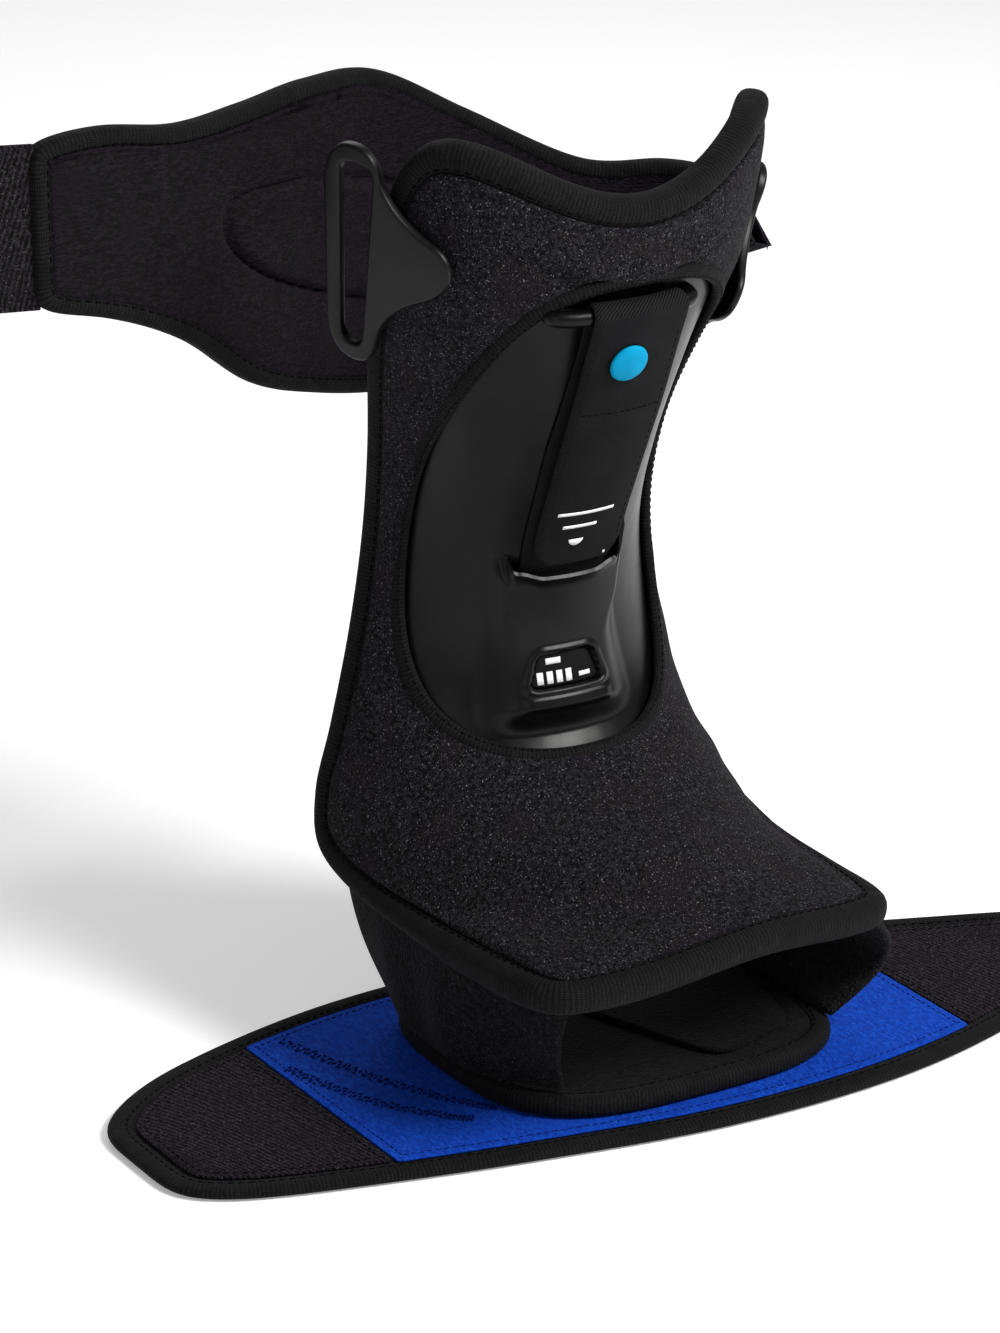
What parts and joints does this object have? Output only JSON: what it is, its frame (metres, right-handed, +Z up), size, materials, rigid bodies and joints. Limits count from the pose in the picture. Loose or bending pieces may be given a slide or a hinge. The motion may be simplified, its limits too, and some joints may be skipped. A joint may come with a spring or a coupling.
{
  "type": "plantar fasciitis night splint",
  "caption": "Shin and instep form with padded liner, tension strap and calf wing, over a foot loop on a wide fastening strap.",
  "frame": {"origin": "on the floor under the middle of the sole, in the underside of the foot strap", "axes": "+Z up, -Y towards the toes, +X to the right as seen from the front"},
  "size_m": [0.3671, 0.1753, 0.2991],
  "materials": {
    "binding": "ribbed elastic binding",
    "loop_cloth": "brushed loop cloth",
    "liner_cloth": "brushed padded lining",
    "shell_plastic": "satin moulded",
    "gauge_plastic": "matt, with plain printed marks",
    "webbing": "fine twill webbing",
    "button_plastic": "satin blue",
    "wing_cloth": "brushed padded cloth",
    "hook_tape": "hook fastening tape",
    "strap_cloth": "woven laminate",
    "blue_lining": "brushed royal blue lining",
    "wall_cloth": "soft elastic cloth"
  },
  "bodies": {
    "root": {"edge_binding": "binding", "front_cover": "loop_cloth", "liner": "liner_cloth", "shell": "shell_plastic", "gauge_plate": "gauge_plastic", "tension_strap": "webbing", "strap_button": "button_plastic", "left_loop": "shell_plastic", "right_loop": "shell_plastic", "wing_binding": "binding", "calf_wing": "wing_cloth", "wing_end_strap": "hook_tape", "fold_strap": "hook_tape", "strap_binding": "binding", "foot_strap": "strap_cloth", "strap_lining": "blue_lining", "left_hook": "hook_tape", "right_hook": "hook_tape", "sole_pad": "liner_cloth", "sole_binding": "binding", "left_wall": "wall_cloth", "right_wall": "wall_cloth", "inner_flap": "liner_cloth"}
  },
  "joints": []
}
